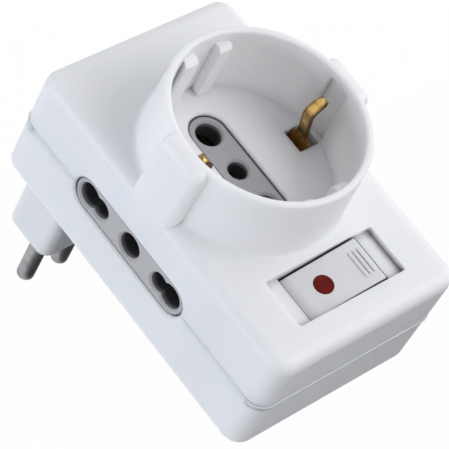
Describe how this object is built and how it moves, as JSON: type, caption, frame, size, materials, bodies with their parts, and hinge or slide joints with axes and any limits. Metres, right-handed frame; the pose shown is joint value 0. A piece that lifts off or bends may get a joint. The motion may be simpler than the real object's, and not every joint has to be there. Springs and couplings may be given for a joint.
{
  "type": "multi socket adapter",
  "caption": "Plug-in wall adapter: a moulded box with a plug boss, a round collared earthed socket, flat sockets in both sides and a rocker switch.",
  "frame": {"origin": "root of the earth pin, in the middle of the plug face", "axes": "+X along the box from the plug towards the switch, +Y across it, +Z out of the front socket; the pins point along -Z"},
  "size_m": [0.0768, 0.0492, 0.0875],
  "materials": {
    "white_plastic": "satin moulded",
    "grey_plastic": "satin moulded",
    "red_plastic": "gloss",
    "frame_plastic": "plain moulded",
    "pin_metal": "nickel plated",
    "brass": "rolled strip",
    "spring_steel": "drawn wire",
    "screw_steel": "zinc plated"
  },
  "bodies": {
    "housing": {"earth_bridge": "brass", "earth_centre_clip": "brass", "earth_pin": "pin_metal", "earth_strap": "brass", "front_cover": "white_plastic", "front_socket_insert": "grey_plastic", "housing_screws": "screw_steel", "left_socket_insert": "grey_plastic", "line_bus_bar": "brass", "line_pin": "pin_metal", "line_strap": "brass", "neutral_bus_bar": "brass", "neutral_pin": "pin_metal", "neutral_strap": "brass", "rear_cover": "white_plastic", "right_socket_insert": "grey_plastic", "switch_centre_terminal": "brass", "switch_contact_terminal": "brass", "switch_frame": "frame_plastic"},
    "rocker": {"rocker": "white_plastic", "rocker_lens": "red_plastic", "rocker_plunger": "frame_plastic", "rocker_spring": "spring_steel"},
    "lever": {"switch_lever": "brass"}
  },
  "joints": [
    {"name": "rocker_hinge", "type": "hinge", "parent": "housing", "child": "rocker", "pos_m": [0.0565, 0, 0.047], "axis": [-1, 0, 0], "range_deg": [0, 12]},
    {"name": "lever_hinge", "type": "hinge", "parent": "housing", "child": "lever", "pos_m": [0.0565, 0, 0.04045], "axis": [1, 0, 0], "range_deg": [0, 10]}
  ],
  "couplings": [
    {"joint": "lever_hinge", "follows": "rocker_hinge", "ratio": 0.83333}
  ]
}
